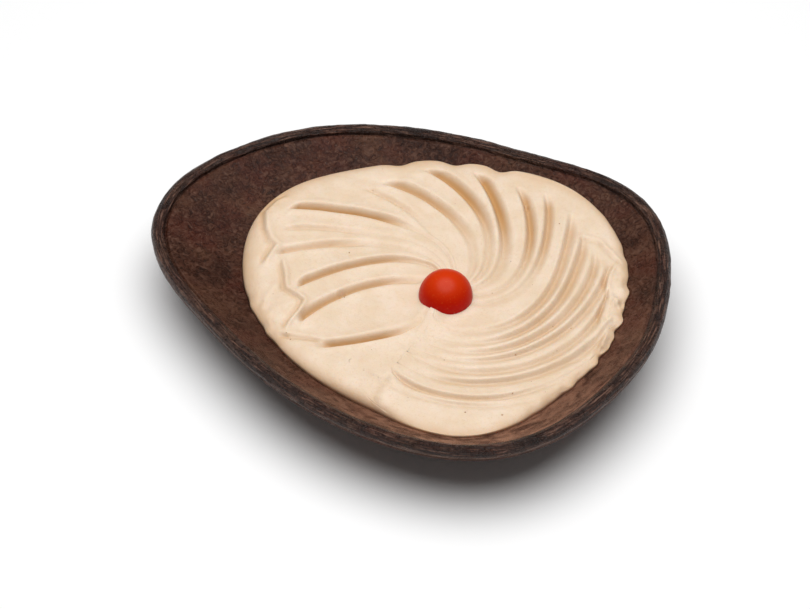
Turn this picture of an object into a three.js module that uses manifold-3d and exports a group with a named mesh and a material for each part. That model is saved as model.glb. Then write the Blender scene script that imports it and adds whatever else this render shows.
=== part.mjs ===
// A rustic stoneware dish of spicy tahini sauce, spooned into a swirl round one cherry tomato.
// Millimetres, +Z up. The origin is the middle of the dish's foot, on the table; the dish's blunt
// end points along +X and its narrow end along -X. Bearings are degrees turned from +X towards +Y.
import * as THREE from "three";
import { mergeVertices } from "three/addons/utils/BufferGeometryUtils.js";
import Module from "manifold-3d";

// ---- Dish ----
const RIM_HEIGHT = 34; // crest of the rim above the table
const WELL_DEPTH = 26.5; // crest down to the middle of the floor
const WALL = 4.8; // thickness of the wall below the rim
const WALL_FULLNESS = 3.0; // power of the hollow's section: higher is a flatter floor, steeper wall
const NARROW_END_EASE = 1.3; // how much gentler that wall is at the narrow end
const FOOT_SHARE = 0.52; // the foot's outline as a share of the crest's
const FOOT_NECK = 4.5; // height at which the wall meets the foot
const DISH_COLUMNS = 80;
const WELL_SHARES = [0.12, 0.26, 0.4, 0.52, 0.62, 0.7, 0.77, 0.83, 0.88, 0.93]; // its rings, inside
const UNDER_SHARES = [0.93, 0.82, 0.7, 0.6]; // and under the wall

// The crest seen from above: a mean radius and waves round the middle, [waves, height, bearing].
const CREST_RADIUS = 103.8;
const CREST_WAVES = [
  [1, 1.5, 91],
  [2, 11.6, -1],
  [3, 6.9, 59.5],
  [4, 0.8, 39],
  [5, 1.8, -27],
  [6, 0.8, 6],
  [7, 0.5, -2],
  [8, 0.5, 8],
];

// The rolled rim's section, as steps out from the crest and falls below it.
const RIM_SECTION = [
  [-3.1, 2.8],
  [-2.6, 1.1],
  [-1.3, 0.2],
  [0, 0],
  [1.4, 0.2],
  [2.5, 0.8],
  [3.3, 2.0],
  [3.5, 3.5],
  [3.2, 4.8],
  [2.3, 5.6],
  [0.2, 6.2],
];

// ---- Sauce ----
const LEVEL = 26.7; // spooned surface above the table
const BACK_RISE = 1.7; // the sauce stands this much higher against the back wall
const GAP = 0.3; // between neighbouring solids
const SWIRL = { x: 15, y: 0 }; // where the spoon strokes run together
const HUB = 9; // radius within which the swirl is flat, under the tomato
const EDGE_LIFT = 1.0; // height of the blunt edge where the sauce meets the wall
const EDGE_ROUND = 5.5; // width over which the surface rounds down to that edge
const NARROW_EDGE_ROUND = 5; // more of that width at the narrow end

// The sauce's outline about the swirl's middle, in waves as above.
const SAUCE_RADIUS = 84.8;
const SAUCE_WAVES = [
  [1, 8.2, 149],
  [2, 3.7, -14],
  [3, 5.4, 60.3],
  [4, 0.3, -41],
  [5, 1.0, 15],
  [6, 1.1, 0.5],
  [8, 0.4, -13],
];

// Notches between its lobes: [bearing, depth, width in degrees].
const NOTCHES = [
  [-86, 0.8, 7],
  [100, 1.8, 3.5],
  [115, 1.8, 3.5],
  [132, 1.8, 3.5],
];

// Short waves where the edge is ragged, and its ragged stretches: [bearing, reach, how much].
const RAGGED_WAVES = [
  [31, 0.7, 4],
  [53, 0.45, 1],
];
const RAGGED_STRETCHES = [
  [8, 34, 1],
  [-141, 12, 0.6],
];

// One stroke of the spoon. Its valley runs from its mouth near the edge (bearing, radius about the
// swirl's middle) to its tail, turning by an even part and by a part that tightens inwards (bow),
// then on to a bearing at the hub. Its wall and lip are the widths of its broad side, towards the
// stroke before it, and of its steep side, towards the next. It opens to its full depth over a share
// of its run, grows shallower after another, and keeps a rest of its depth on the way to the hub.
const strokeOf = (mouth, tail, bow, hub, depth, wall, lip, ease = {}) => ({
  ...{ mouth, tail, bow, hub, depth, wall, lip, opening: 0.14, fade: 0.4, rest: 0 },
  ...ease,
});

// The strokes in order round the dish.
const STROKES = [
  strokeOf([-123, 68], [-92.6, 23], 0.37, -94, 3.2, 3.8, 2.6, { opening: 0.2, fade: 0.6, rest: 0.25 }),
  strokeOf([-26, 77.5], [-91, 60.3], 0.1, -91.5, 0.8, 3.0, 2.0, { opening: 0.6, fade: 0.5 }),
  strokeOf([-7, 74.5], [-90, 51], -0.5, -90.6, 1.6, 4.0, 2.4, { opening: 0.4, fade: 0.75 }),
  strokeOf([11, 74], [-89, 48.8], 0.24, -89.5, 1.35, 4.0, 2.6, { fade: 0.7 }),
  strokeOf([34, 73], [-88, 41], 0.1, -88.5, 1.4, 4.0, 2.6, { fade: 0.7 }),
  strokeOf([39.6, 74.5], [-87, 37.2], 0.54, -87.5, 1.5, 4.0, 2.6, { fade: 0.65 }),
  strokeOf([47.8, 72.5], [-86, 32.2], 0.56, -86.5, 1.75, 4.2, 2.6, { fade: 0.65 }),
  strokeOf([57.4, 72.5], [-85, 27], 0.68, -85.5, 1.9, 4.4, 2.6, { fade: 0.65 }),
  strokeOf([68.9, 77], [-84, 18.5], 0.74, -84.5, 1.8, 4.5, 2.4, { fade: 0.6 }),
  strokeOf([81.5, 78.5], [32.5, 33], 0.4, -12, 2.2, 3.8, 2.2, { fade: 0.45, rest: 0.25 }),
  strokeOf([92, 76.5], [37.5, 27.5], 0.32, 12, 2.6, 4.2, 2.4, { rest: 0.25 }),
  strokeOf([107.3, 79], [50.6, 20.5], 0.4, 36, 3.0, 5.2, 2.6, { opening: 0.07, fade: 0.3, rest: 0.25 }),
  strokeOf([124.1, 81], [80, 30], 0.1, 52, 3.0, 5.2, 2.8, { opening: 0.07, fade: 0.3, rest: 0.25 }),
  strokeOf([139.7, 78], [89.4, 25], 0.21, 66, 2.7, 5.2, 2.6, { opening: 0.08, fade: 0.3, rest: 0.25 }),
  strokeOf([147.5, 79], [128.7, 38], 0, 94, 1.2, 3.0, 2.0, { rest: 0.2 }),
  strokeOf([170.6, 91], [135.8, 40], 0.29, 102, 3.2, 4.8, 2.0, { opening: 0.05, fade: 0.6, rest: 0.1 }),
  strokeOf([178.9, 85], [159, 48], 0.2, 110, 1.3, 3.0, 2.0, { opening: 0.07, fade: 0.5, rest: 0.1 }),
  strokeOf([190, 81], [160.2, 38], 0.18, 118, 2.0, 4.0, 2.4, { opening: 0.06, fade: 0.4, rest: 0.1 }),
  strokeOf([204.5, 68], [140.7, 18.5], 0.45, 128, 2.7, 3.8, 2.8, { opening: 0.07, fade: 0.6, rest: 0.4 }),
  strokeOf([223.8, 69], [185, 16], 0.19, 172, 2.7, 4.2, 2.4, { opening: 0.08, fade: 0.7, rest: 0.5 }),
];
const OUTER_TURN = 0.6; // degrees a valley's line turns for each mm beyond its mouth
const BROW = { height: 0.1, width: 1.6 }; // low ridge along a broad wall's top; share of the depth
const CREST = { height: 0.22, width: 2.4 }; // ridge behind a lip; share of the depth

// The ragged inner lip of the smooth border at the narrow end, where strokes begin.
const BORDER = { from: 166, to: 240, ease: 10, lip: 1.1, drop: 0.3, width: 2.2, fade: 26 };

// Rows of the sauce's surface from hub to edge, as shares of the way.
const SAUCE_ROWS = [
  0.05, 0.1, 0.16, 0.22, 0.29, 0.36, 0.43, 0.5, 0.56, 0.62, 0.67, 0.72, 0.765, 0.805, 0.845, 0.88,
  0.91, 0.935, 0.96, 0.98, 0.993, 1,
];
const UNDERSIDE_ROWS = [0.94, 0.87, 0.79, 0.7, 0.58, 0.42, 0.22];

// ---- Cherry tomato ----
const TOMATO = { x: 15.7, y: -3.2, z: 27.3, radius: 12.05, columns: 28, rows: 16 };
const COLLAR = { height: 0.5, width: 2.5 }; // sauce drawn up all round the tomato
const LAP = { bearing: -92, reach: 12.6, height: 2.6, width: 5.6 }; // a spoonful lapping up its front

// ---- Helpers ----
const radians = (degrees) => (degrees * Math.PI) / 180;
const degreesOf = (angle) => (angle * 180) / Math.PI;
const clamp = (value, low = 0, high = 1) => Math.min(high, Math.max(low, value));
const smooth = (share) => clamp(share) ** 2 * (3 - 2 * clamp(share));
const mix = (a, b, share) => a + (b - a) * share;
const bell = (distance, width) => Math.exp(-((distance / width) ** 2));

// Degrees from one bearing to another, between -180 and 180.
const turnTo = (from, to) => ((((to - from + 180) % 360) + 360) % 360) - 180;

// A mean radius with waves round it, at a bearing in degrees.
const wavy = (mean, waves, bearing) =>
  waves.reduce((sum, [count, height, at]) => sum + height * Math.cos(count * radians(bearing - at)), mean);

// Collects rings of points that share one turning direction and skins them into a closed mesh.
class RingSkin {
  constructor() {
    this.positions = [];
    this.faces = [];
  }

  point([x, y, z]) {
    this.positions.push(x, y, z);
    return this.positions.length / 3 - 1;
  }

  ring(points) {
    return points.map((p) => this.point(p));
  }

  cap(pole, ring, upward) {
    const tip = this.point(pole);
    ring.forEach((a, i) => {
      const b = ring[(i + 1) % ring.length];
      this.faces.push(...(upward ? [tip, a, b] : [tip, b, a]));
    });
  }

  band(inner, outer) {
    inner.forEach((a, i) => {
      const j = (i + 1) % inner.length;
      this.faces.push(a, outer[i], outer[j], a, outer[j], inner[j]);
    });
  }

  // A band to a ring that keeps every second column.
  halvingBand(inner, outer) {
    outer.forEach((b, i) => {
      const [a0, a1, a2] = [0, 1, 2].map((k) => inner[(2 * i + k) % inner.length]);
      const next = outer[(i + 1) % outer.length];
      this.faces.push(a0, b, a1, a1, b, next, a1, next, a2);
    });
  }

  geometry() {
    const made = new THREE.BufferGeometry();
    made.setAttribute("position", new THREE.Float32BufferAttribute(this.positions, 3));
    made.setIndex(this.faces);
    return made;
  }
}

// ---- Dish ----
const crestRadius = (bearing) => wavy(CREST_RADIUS, CREST_WAVES, bearing);

// Height of the hollow's surface at a share of the way from the middle to the crest.
function wellHeight(share, bearing) {
  const narrow = ((1 - Math.cos(radians(bearing))) / 2) ** 3;
  return RIM_HEIGHT - WELL_DEPTH * (1 - share ** (WALL_FULLNESS - NARROW_END_EASE * narrow));
}

// The same, at a point of the plan.
function wellHeightAt(x, y) {
  const bearing = degreesOf(Math.atan2(y, x));
  return wellHeight(Math.hypot(x, y) / crestRadius(bearing), bearing);
}

// One station of the dish's section: radius at a bearing and height.
function dishStation(bearing, { share = 1, out = 0, z = null, under = false }) {
  const radius = share * crestRadius(bearing) + out;
  const fall = under ? WALL : 0;
  const height = z ?? wellHeight(radius / crestRadius(bearing), bearing) - fall;
  return [radius * Math.cos(radians(bearing)), radius * Math.sin(radians(bearing)), height];
}

function makeDish() {
  const stations = [
    ...WELL_SHARES.map((share) => ({ share })),
    ...RIM_SECTION.map(([out, fall]) => ({ out, z: RIM_HEIGHT - fall })),
    ...UNDER_SHARES.map((share) => ({ share, under: true })),
    { share: FOOT_SHARE, z: FOOT_NECK },
    { share: FOOT_SHARE, out: -0.6, z: 0.8 },
    { share: FOOT_SHARE, out: -1.6, z: 0 },
  ];
  const bearings = Array.from({ length: DISH_COLUMNS }, (_, i) => (360 * i) / DISH_COLUMNS);
  const skin = new RingSkin();
  const rings = stations.map((station) => skin.ring(bearings.map((b) => dishStation(b, station))));
  skin.cap([0, 0, RIM_HEIGHT - WELL_DEPTH], rings[0], true);
  for (let i = 1; i < rings.length; i += 1) skin.band(rings[i - 1], rings[i]);
  skin.cap([0, 0, 0], rings.at(-1), false);
  return skin.geometry();
}

// ---- Sauce ----
// Radius of the sauce's outline about the swirl's middle.
function sauceRadius(bearing) {
  const notches = NOTCHES.map(([at, depth, width]) => depth * bell(turnTo(at, bearing), width));
  const much = RAGGED_STRETCHES.map(([at, reach, share]) => share * bell(turnTo(at, bearing), reach));
  const ragged = wavy(0, RAGGED_WAVES, bearing) * (much[0] + much[1]);
  return wavy(SAUCE_RADIUS, SAUCE_WAVES, bearing) - Math.max(...notches) + ragged;
}

// Share of a stroke's run used up at a radius: 0 at its mouth, 1 at its tail.
const runShare = (stroke, radius) => (stroke.mouth[1] - radius) / (stroke.mouth[1] - stroke.tail[1]);

// Bearing of a stroke's valley line at a radius.
function valleyBearing(stroke, radius) {
  const run = runShare(stroke, radius);
  if (run < 0) return stroke.mouth[0] + OUTER_TURN * (radius - stroke.mouth[1]);
  if (run > 1) {
    return mix(stroke.tail[0], stroke.hub, (stroke.tail[1] - radius) / (stroke.tail[1] - HUB));
  }
  const turned = (1 - stroke.bow) * run + stroke.bow * run ** 3;
  return mix(stroke.mouth[0], stroke.tail[0], turned);
}

// How deep a stroke is cut at a radius.
function valleyDepth({ depth, opening, fade, rest, ...line }, radius) {
  const run = runShare(line, radius);
  const kept = rest * smooth((radius - HUB) / 8);
  const faded = smooth((run - fade) / (1 - fade));
  return depth * smooth(run / opening) * mix(1, kept, faded);
}

// Columns of the surface: each stands at a share of the way from one stroke to the next.
function swirlColumns() {
  const columns = [];
  STROKES.forEach((stroke, i) => {
    const next = STROKES[(i + 1) % STROKES.length];
    const wrap = i + 1 === STROKES.length ? 360 : 0;
    const turn = next.mouth[0] + wrap - stroke.mouth[0];
    const arc = radians(turn) * stroke.mouth[1];
    const lip = Math.min(0.35, stroke.lip / arc);
    const brow = 1 - Math.min(0.5, next.wall / arc);
    const middles = Math.max(1, Math.round(turn / 8));
    const shares = [0, lip];
    for (let k = 1; k <= middles; k += 1) shares.push(mix(lip, brow, k / middles));
    shares.push(mix(brow, 1, 0.5));
    shares.forEach((share) => columns.push({ stroke, next, wrap, share }));
  });
  if (columns.length % 2) columns.splice(4, 1);
  return columns;
}

// Bearing of a column at a radius.
const columnBearing = ({ stroke, next, wrap, share }, radius) =>
  mix(valleyBearing(stroke, radius), valleyBearing(next, radius) + wrap, share);

// Distance in mm between two valleys, square to a stroke, at a radius.
function pitchAt({ stroke, next, wrap }, along, radius) {
  const gapAngle = radians(valleyBearing(next, radius) + wrap - valleyBearing(stroke, radius));
  const slant = radius * radians(valleyBearing(along, radius + 0.5) - valleyBearing(along, radius - 0.5));
  return (radius * gapAngle) / Math.hypot(1, slant);
}

// Relief of the strokes on both sides of a column: a steep wall up from the valley behind to a lip,
// and a broad wall down into the valley ahead with a low ridge along its brow, eased at both ends.
function strokeRelief(column, radius) {
  const { stroke, next, share } = column;
  const pitchBehind = pitchAt(column, stroke, radius);
  const pitchAhead = pitchAt(column, next, radius);
  const lip = Math.min(stroke.lip, 0.4 * pitchBehind);
  const wall = Math.min(next.wall, 0.55 * pitchAhead);
  const past = share * pitchBehind - lip;
  const short = (1 - share) * pitchAhead - wall;
  const climb = smooth(1 + past / lip);
  const crest = bell(Math.max(0, past), CREST.width) * climb;
  const behind = valleyDepth(stroke, radius) * (climb - 1 + CREST.height * crest);
  return behind + valleyDepth(next, radius) * (BROW.height * bell(short, BROW.width) - smooth(-short / wall));
}

// The border at the narrow end: a lip along the stroke mouths and a drop inside it.
function borderRelief({ stroke, next, share }, radius, bearing) {
  const around = ((bearing % 360) + 360) % 360;
  const shown = smooth((around - BORDER.from) / BORDER.ease) * smooth((BORDER.to - around) / BORDER.ease);
  const inside = mix(stroke.mouth[1], next.mouth[1], share) - radius;
  const lip = BORDER.lip * bell(inside, BORDER.width);
  const drop = BORDER.drop * smooth(inside / BORDER.width) * (1 - smooth(inside / BORDER.fade));
  return shown * (lip - drop);
}

// Sauce drawn up round the tomato.
function tomatoRelief(x, y) {
  const away = Math.hypot(x - TOMATO.x, y - TOMATO.y);
  const lapX = TOMATO.x + LAP.reach * Math.cos(radians(LAP.bearing));
  const lapY = TOMATO.y + LAP.reach * Math.sin(radians(LAP.bearing));
  const lap = LAP.height * bell(Math.hypot(x - lapX, y - lapY), LAP.width);
  return COLLAR.height * bell(Math.max(0, away - TOMATO.radius), COLLAR.width) + lap;
}

// Radius at which a column meets the sauce's outline, found from outside by halving steps.
function columnEdge(column) {
  let radius = 100;
  for (let step = 0; step < 60; step += 1) {
    radius = mix(radius, sauceRadius(columnBearing(column, radius)), 0.5);
  }
  return radius;
}

// A point of the spooned surface, on a column, at a share of the way from hub to edge.
function surfacePoint(column, row) {
  const radius = mix(HUB, columnEdge(column), row);
  const bearing = columnBearing(column, radius);
  const x = SWIRL.x + radius * Math.cos(radians(bearing));
  const y = SWIRL.y + radius * Math.sin(radians(bearing));
  const edge = sauceRadius(bearing);
  const narrow = ((1 - Math.cos(radians(bearing))) / 2) ** 3;
  const round = EDGE_ROUND + NARROW_EDGE_ROUND * narrow;
  const inwards = clamp((edge - radius) / round);
  const edgeX = SWIRL.x + edge * Math.cos(radians(bearing));
  const edgeY = SWIRL.y + edge * Math.sin(radians(bearing));
  const edgeZ = wellHeightAt(edgeX, edgeY) + GAP + EDGE_LIFT;
  const level = LEVEL + BACK_RISE * smooth((y - 15) / 65);
  const rounding = Math.sqrt(1 - (1 - inwards) ** 2);
  const relief = strokeRelief(column, radius) + borderRelief(column, radius, bearing);
  const z = mix(edgeZ, level, rounding) + (relief + tomatoRelief(x, y)) * rounding;
  return [x, y, z];
}

// A point of the sauce's underside, a gap above the hollow of the dish.
function undersidePoint(bearing, share) {
  const radius = sauceRadius(bearing) * share;
  const x = SWIRL.x + radius * Math.cos(radians(bearing));
  const y = SWIRL.y + radius * Math.sin(radians(bearing));
  return [x, y, wellHeightAt(x, y) + GAP + 0.1];
}

function makeSauceBlank() {
  const columns = swirlColumns();
  const skin = new RingSkin();
  const hub = columns.map((column) => surfacePoint(column, 0));
  const rings = [skin.ring(hub)];
  SAUCE_ROWS.forEach((row) => rings.push(skin.ring(columns.map((column) => surfacePoint(column, row)))));
  skin.cap([SWIRL.x, SWIRL.y, LEVEL], rings[0], true);
  const bearings = columns.map((column) => {
    const [x, y] = surfacePoint(column, 1);
    return degreesOf(Math.atan2(y - SWIRL.y, x - SWIRL.x));
  });
  rings.push(skin.ring(bearings.map((bearing) => undersidePoint(bearing, 1))));
  for (let i = 1; i < rings.length; i += 1) skin.band(rings[i - 1], rings[i]);
  const halved = bearings.filter((_, i) => i % 2 === 0);
  let previous = rings.at(-1);
  UNDERSIDE_ROWS.forEach((share, i) => {
    const ring = skin.ring(halved.map((bearing) => undersidePoint(bearing, share)));
    if (i === 0) skin.halvingBand(previous, ring);
    else skin.band(previous, ring);
    previous = ring;
  });
  skin.cap([SWIRL.x, SWIRL.y, wellHeightAt(SWIRL.x, SWIRL.y) + GAP], previous, false);
  return skin.geometry();
}

// ---- Tomato ----
function makeTomato(extra = 0) {
  const ball = new THREE.SphereGeometry(TOMATO.radius + extra, TOMATO.columns, TOMATO.rows);
  return ball.rotateX(Math.PI / 2).translate(TOMATO.x, TOMATO.y, TOMATO.z);
}

// ---- Joining and cutting ----
const wasm = await Module();
wasm.setup();

function solidOf(geometry) {
  const bare = geometry.clone();
  bare.deleteAttribute("normal");
  bare.deleteAttribute("uv");
  const merged = mergeVertices(bare);
  const vertProperties = merged.attributes.position.array;
  const triVerts = new Uint32Array(merged.index.array);
  return new wasm.Manifold(new wasm.Mesh({ numProp: 3, vertProperties, triVerts }));
}

function geometryOf(solid) {
  const { vertProperties, triVerts } = solid.getMesh();
  const made = new THREE.BufferGeometry();
  made.setAttribute("position", new THREE.BufferAttribute(vertProperties, 3));
  made.setIndex(new THREE.BufferAttribute(triVerts, 1));
  return made;
}

const makeSauce = () => geometryOf(solidOf(makeSauceBlank()).subtract(solidOf(makeTomato(GAP))));

// ---- Assembly ----
function piece(name, geometry, colour, roughness) {
  geometry.computeVertexNormals();
  const finish = new THREE.MeshStandardMaterial({ color: colour, roughness, metalness: 0 });
  const mesh = new THREE.Mesh(geometry, finish);
  mesh.name = name;
  return mesh;
}

const dip = new THREE.Group();
dip.add(piece("bowl", makeDish(), 0x4a352b, 0.55));
dip.add(piece("tahini_sauce", makeSauce(), 0xf2d7bb, 0.45));
dip.add(piece("cherry_tomato", makeTomato(), 0xbe1900, 0.25));

export default dip;
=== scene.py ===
"""Dresses the dish of spicy tahini sauce: glazed stoneware, spooned sauce, cherry tomato, spice flecks."""
import logging
import math
from dataclasses import dataclass, field
from enum import Enum

import bpy
import numpy as np
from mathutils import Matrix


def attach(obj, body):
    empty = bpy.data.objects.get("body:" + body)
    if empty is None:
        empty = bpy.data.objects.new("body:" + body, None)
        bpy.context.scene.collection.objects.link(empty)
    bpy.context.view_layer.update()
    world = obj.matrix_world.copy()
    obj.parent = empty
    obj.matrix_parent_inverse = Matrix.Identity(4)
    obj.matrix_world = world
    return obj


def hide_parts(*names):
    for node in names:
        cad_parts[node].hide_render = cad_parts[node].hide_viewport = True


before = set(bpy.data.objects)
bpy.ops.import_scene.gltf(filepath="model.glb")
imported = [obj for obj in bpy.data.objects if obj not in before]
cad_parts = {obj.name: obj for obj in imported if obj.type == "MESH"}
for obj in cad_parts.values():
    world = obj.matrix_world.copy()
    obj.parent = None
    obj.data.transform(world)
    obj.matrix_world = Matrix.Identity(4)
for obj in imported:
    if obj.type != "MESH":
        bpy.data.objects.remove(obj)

LOG = logging.getLogger("tahini")
MM = 0.001  # one millimetre in the scene's metres
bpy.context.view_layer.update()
Array = np.ndarray


class Slot(Enum):
    """The record's material slots."""

    STONEWARE = "stoneware"
    TAHINI = "tahini"
    TOMATO_SKIN = "tomato_skin"


# ---------------------------------------------------------------- numbers and curves


def clamp(value: Array, low: float = 0.0, high: float = 1.0) -> Array:
    """Values held between low and high."""
    return np.minimum(high, np.maximum(low, value))


def smooth(share: Array) -> Array:
    """Eases a share from 0 to 1: three times its square less twice its cube."""
    held = clamp(share)
    return held**2 * (3 - 2 * held)


def mix(first: Array, second: Array, share: Array) -> Array:
    """Goes from first to second by a share."""
    return first + (second - first) * share


def bell(distance: Array, width: float) -> Array:
    """A rounded bump: 1 at distance 0, falling as the exponential of the squared distance over width."""
    return np.exp(-((distance / width) ** 2))


def narrowness(bearing: Array) -> Array:
    """1 at the dish's narrow end (bearing 180 degrees) and 0 at its blunt end, eased by a cube."""
    return ((1 - np.cos(np.radians(bearing))) / 2) ** 3


def turn_from(start: float, bearing: Array) -> Array:
    """Degrees from one bearing to others, between -180 and 180."""
    return (bearing - start + 180) % 360 - 180


def linear(code: str) -> tuple[float, float, float, float]:
    """Turns an sRGB hex colour into linear red, green, blue and alpha.

    Args:
        code: six hex digits after a hash, such as "#bf1a00".

    Returns:
        The linear colour with alpha 1.
    """
    parts = [int(code[i : i + 2], 16) / 255 for i in (1, 3, 5)]
    shades = [c / 12.92 if c <= 0.04045 else ((c + 0.055) / 1.055) ** 2.4 for c in parts]
    return (*shades, 1.0)


@dataclass(frozen=True)
class Wave:
    """One wave round an outline: how many crests, how high in mm, and the bearing of a crest."""

    count: int
    height: float
    bearing: float


@dataclass(frozen=True)
class Outline:
    """An outline round a middle: a mean radius in mm with waves on it."""

    mean: float
    waves: tuple[Wave, ...]

    def radius(self, bearing: Array) -> Array:
        """Mean radius plus each wave's height times the cosine of its count times the turn from its crest.

        Args:
            bearing: degrees from +X towards +Y.

        Returns:
            The radius in mm at each bearing.
        """
        total = np.full_like(bearing, self.mean, dtype=float)
        for wave in self.waves:
            total += wave.height * np.cos(wave.count * np.radians(bearing - wave.bearing))
        return total


class Grain:
    """Seeded smooth noise on the plane: random heights on a square lattice, eased between corners.
    Its first direction closes on itself after a given number of cells, so it can run round a piece."""

    ROWS = 256

    def __init__(self, seed: int, cells: int = 256) -> None:
        """Draws the lattice's heights, from -1 to 1.

        Args:
            seed: the draw's seed.
            cells: cells after which the first direction repeats.
        """
        self.cells = cells
        self.heights = np.random.default_rng(seed).uniform(-1, 1, (cells, self.ROWS))

    def corner(self, column: Array, row: Array) -> Array:
        """Heights at whole places of the lattice."""
        return self.heights[column % self.cells, row % self.ROWS]

    def at(self, across: Array, along: Array) -> Array:
        """The noise at points given in lattice cells.

        Args:
            across: first coordinate, in cells.
            along: second coordinate, in cells.

        Returns:
            Heights from -1 to 1, mixed from the four corners round each point by eased shares.
        """
        column, row = np.floor(across).astype(int), np.floor(along).astype(int)
        u, v = smooth(across - column), smooth(along - row)
        near = mix(self.corner(column, row), self.corner(column + 1, row), u)
        far = mix(self.corner(column, row + 1), self.corner(column + 1, row + 1), u)
        return mix(near, far, v)


@dataclass(frozen=True)
class Lumps:
    """Smooth lumps on the plan: the noise's seed, its cells' size and the lumps' height in mm, and
    how many cells its lattice is moved by."""

    seed: int
    cell: float
    height: float
    moved: float

    def relief(self, x: Array, y: Array) -> Array:
        """Heights in mm at places of the plan."""
        return self.height * Grain(self.seed).at(x / self.cell + self.moved, y / self.cell + self.moved)


# ---------------------------------------------------------------- meshes


def grid_faces(rows: int, columns: int) -> Array:
    """Quads of a grid of rows that close on themselves, for rings turning one way and going outwards.

    Args:
        rows: number of rings.
        columns: points in each ring.

    Returns:
        An array of four vertex numbers a face, facing up where the rings grow.
    """
    ring = np.arange(columns)
    ahead = (ring + 1) % columns
    start = (np.arange(rows - 1) * columns)[:, None]
    corners = [start + ring, start + columns + ring, start + columns + ahead, start + ahead]
    return np.stack(corners, axis=-1).reshape(-1, 4)


def closed_skin(name: str, rings: Array, first_pole: Array, last_pole: Array) -> bpy.types.Object:
    """Makes a closed mesh from rings of points, with a pole at each end.

    Args:
        name: the new object's name.
        rings: points in mm, shaped rings x columns x 3; they grow from the first pole, seen from
            above turning from +X to +Y, and shrink back to the last.
        first_pole: the point that closes the first ring, on top.
        last_pole: the point that closes the last ring, underneath.

    Returns:
        The object, at the origin, with smooth faces that point outwards.
    """
    count, columns, _ = rings.shape
    points = np.vstack([rings.reshape(-1, 3), first_pole, last_pole]) * MM
    ring = np.arange(columns)
    ahead = (ring + 1) % columns
    top, bottom = count * columns, count * columns + 1
    last = (count - 1) * columns
    top_fan = np.stack([np.full(columns, top), ring, ahead], axis=-1)
    bottom_fan = np.stack([np.full(columns, bottom), last + ahead, last + ring], axis=-1)
    mesh = bpy.data.meshes.new(name)
    faces = grid_faces(count, columns).tolist() + top_fan.tolist() + bottom_fan.tolist()
    mesh.from_pydata(points.tolist(), [], faces)
    mesh.polygons.foreach_set("use_smooth", np.ones(len(mesh.polygons), dtype=bool))
    mesh.update()
    made = bpy.data.objects.new(name, mesh)
    bpy.context.scene.collection.objects.link(made)
    return made


def point_value(piece: bpy.types.Object, name: str, values: Array) -> None:
    """Stores one number, or three in a row, a vertex on a piece, for its material to read by name."""
    kind, part = ("FLOAT_VECTOR", "vector") if values.ndim == 2 else ("FLOAT", "value")
    layer = piece.data.attributes.new(name, kind, "POINT")
    layer.data.foreach_set(part, values.astype(np.float32).ravel())


def settle(piece: bpy.types.Object, node: str | None, finish: bpy.types.Material) -> None:
    """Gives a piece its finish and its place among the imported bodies.

    Args:
        piece: the new piece.
        node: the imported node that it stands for, or None.
        finish: its material.
    """
    piece.data.materials.append(finish)
    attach(piece, "root")
    if node:
        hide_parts(node)
    triangles = sum(len(face.vertices) - 2 for face in piece.data.polygons)
    LOG.info("%s: %d triangles", piece.name, triangles)


# ---------------------------------------------------------------- materials


def add_node(
    tree: bpy.types.NodeTree,
    kind: str,
    inputs: dict[str | int, object] | None = None,
    stops: tuple[tuple[float, str], ...] = (),
    **settings: object,
) -> bpy.types.Node:
    """Adds a shader node with its settings, its inputs and, for a colour ramp, its stops.

    Args:
        tree: the material's node tree.
        kind: the node's type without its ShaderNode prefix.
        inputs: for each input's name or number, a socket to link or a value to set.
        stops: for a colour ramp, each stop's place and sRGB hex colour.
        settings: the node's own properties.

    Returns:
        The node.
    """
    made = tree.nodes.new("ShaderNode" + kind)
    for name, value in settings.items():
        setattr(made, name, value)
    for name, value in (inputs or {}).items():
        if isinstance(value, bpy.types.NodeSocket):
            tree.links.new(value, made.inputs[name])
        else:
            made.inputs[name].default_value = value
    for index, (place, code) in enumerate(stops):
        ramp = made.color_ramp
        stop = ramp.elements[index] if index < 2 else ramp.elements.new(place)
        stop.position, stop.color = place, linear(code)
    return made


def blank_material(name: str) -> tuple[bpy.types.Material, bpy.types.NodeTree, bpy.types.Node]:
    """Makes an empty node material.

    Args:
        name: the material's name.

    Returns:
        The material, its tree and its output node.
    """
    made = bpy.data.materials.new(name)
    made.use_nodes = True
    made.node_tree.nodes.clear()
    output = made.node_tree.nodes.new("ShaderNodeOutputMaterial")
    return made, made.node_tree, output


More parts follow.
